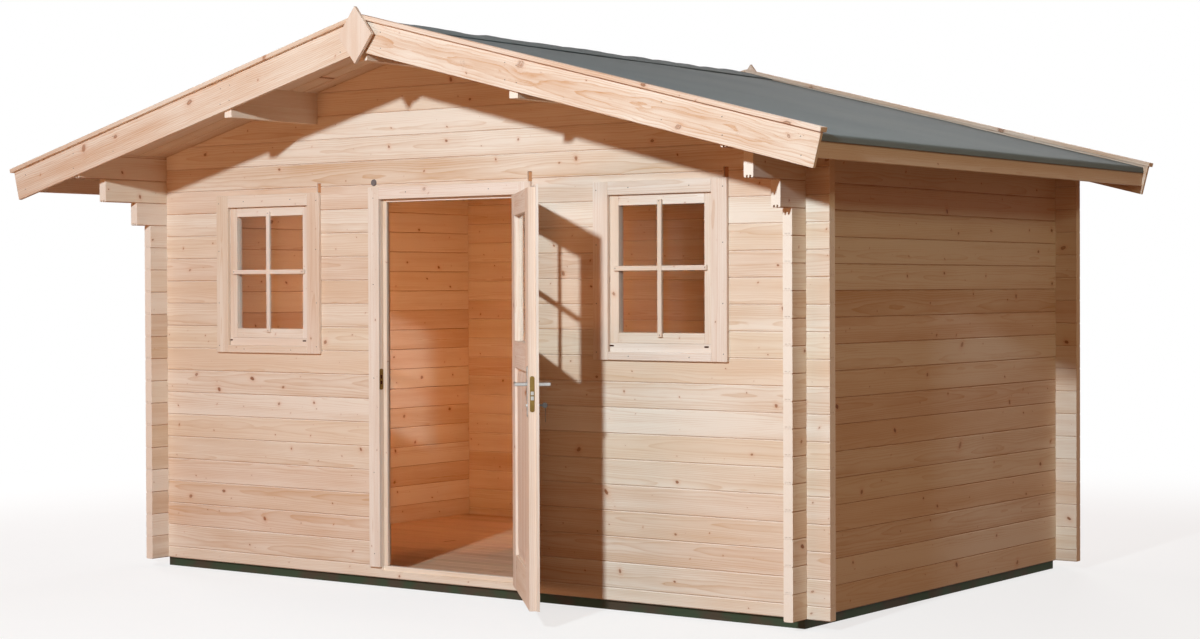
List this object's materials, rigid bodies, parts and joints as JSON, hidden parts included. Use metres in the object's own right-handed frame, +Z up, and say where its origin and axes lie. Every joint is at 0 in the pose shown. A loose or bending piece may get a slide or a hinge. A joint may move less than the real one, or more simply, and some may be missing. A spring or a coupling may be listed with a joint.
{
  "type": "garden log cabin with gable roof",
  "caption": "Small timber log cabin with crossed corner logs, a low gable roof with a deep front overhang, an open half-glazed door and fixed windows beside it",
  "frame": {"origin": "middle of the wall footprint, on the ground under the base beams", "axes": "+X to the right along the front wall, +Y from the front wall to the back wall, +Z up"},
  "size_m": [4.744, 3.3558, 2.6807],
  "materials": {
    "log_spruce": "planed raw spruce logs",
    "trim_spruce": "planed pale spruce boards",
    "roof_spruce": "planed spruce roof boards",
    "floor_spruce": "planed spruce floor boards",
    "treated_timber": "dark pressure-treated sawn timber",
    "felt": "slate mineral-surfaced bitumen felt",
    "clear_glass": "clear float glass",
    "hinge_steel": "zinc-plated steel",
    "lock_steel": "satin steel"
  },
  "bodies": {
    "cabin": {"base_beams": "treated_timber", "floor_joists": "treated_timber", "floor_boards": "floor_spruce", "front_sill_log": "log_spruce", "front_wall_left_logs": "log_spruce", "front_wall_right_logs": "log_spruce", "front_lintel_log": "log_spruce", "front_gable_logs": "log_spruce", "back_wall_logs": "log_spruce", "back_gable_logs": "log_spruce", "left_wall_logs": "log_spruce", "right_wall_logs": "log_spruce", "ridge_purlin": "log_spruce", "side_purlins": "log_spruce", "roof_boards_left": "roof_spruce", "roof_boards_right": "roof_spruce", "roof_felt_left": "felt", "roof_felt_right": "felt", "eave_fascia_left": "trim_spruce", "eave_fascia_right": "trim_spruce", "front_barge_boards": "trim_spruce", "rear_barge_boards": "trim_spruce", "front_cover_strips": "trim_spruce", "rear_cover_strips": "trim_spruce", "front_finial": "trim_spruce", "rear_finial": "trim_spruce", "door_trim": "trim_spruce", "door_frame": "trim_spruce", "door_stops": "trim_spruce", "window_left_frame": "trim_spruce", "window_right_frame": "trim_spruce", "window_left_sash": "trim_spruce", "window_right_sash": "trim_spruce", "window_left_glass": "clear_glass", "window_right_glass": "clear_glass", "door_hinge_posts": "hinge_steel"},
    "door": {"door_stiles": "trim_spruce", "door_rails": "trim_spruce", "door_panel": "trim_spruce", "door_glass": "clear_glass", "door_hinge_leaves": "hinge_steel", "door_lock": "lock_steel"},
    "lever": {"door_lever": "lock_steel"}
  },
  "joints": [
    {"name": "door_hinge", "type": "hinge", "parent": "cabin", "child": "door", "pos_m": [0.452, -1.278, 0], "axis": [0, 0, 1], "range_deg": [-133, 30]},
    {"name": "lever_spindle", "type": "hinge", "parent": "door", "child": "lever", "pos_m": [0.98848, -1.88116, 1.027], "axis": [-0.7314, -0.682, 0], "range_deg": [0, 40], "stiffness_Nm_per_rad": 1.5}
  ]
}
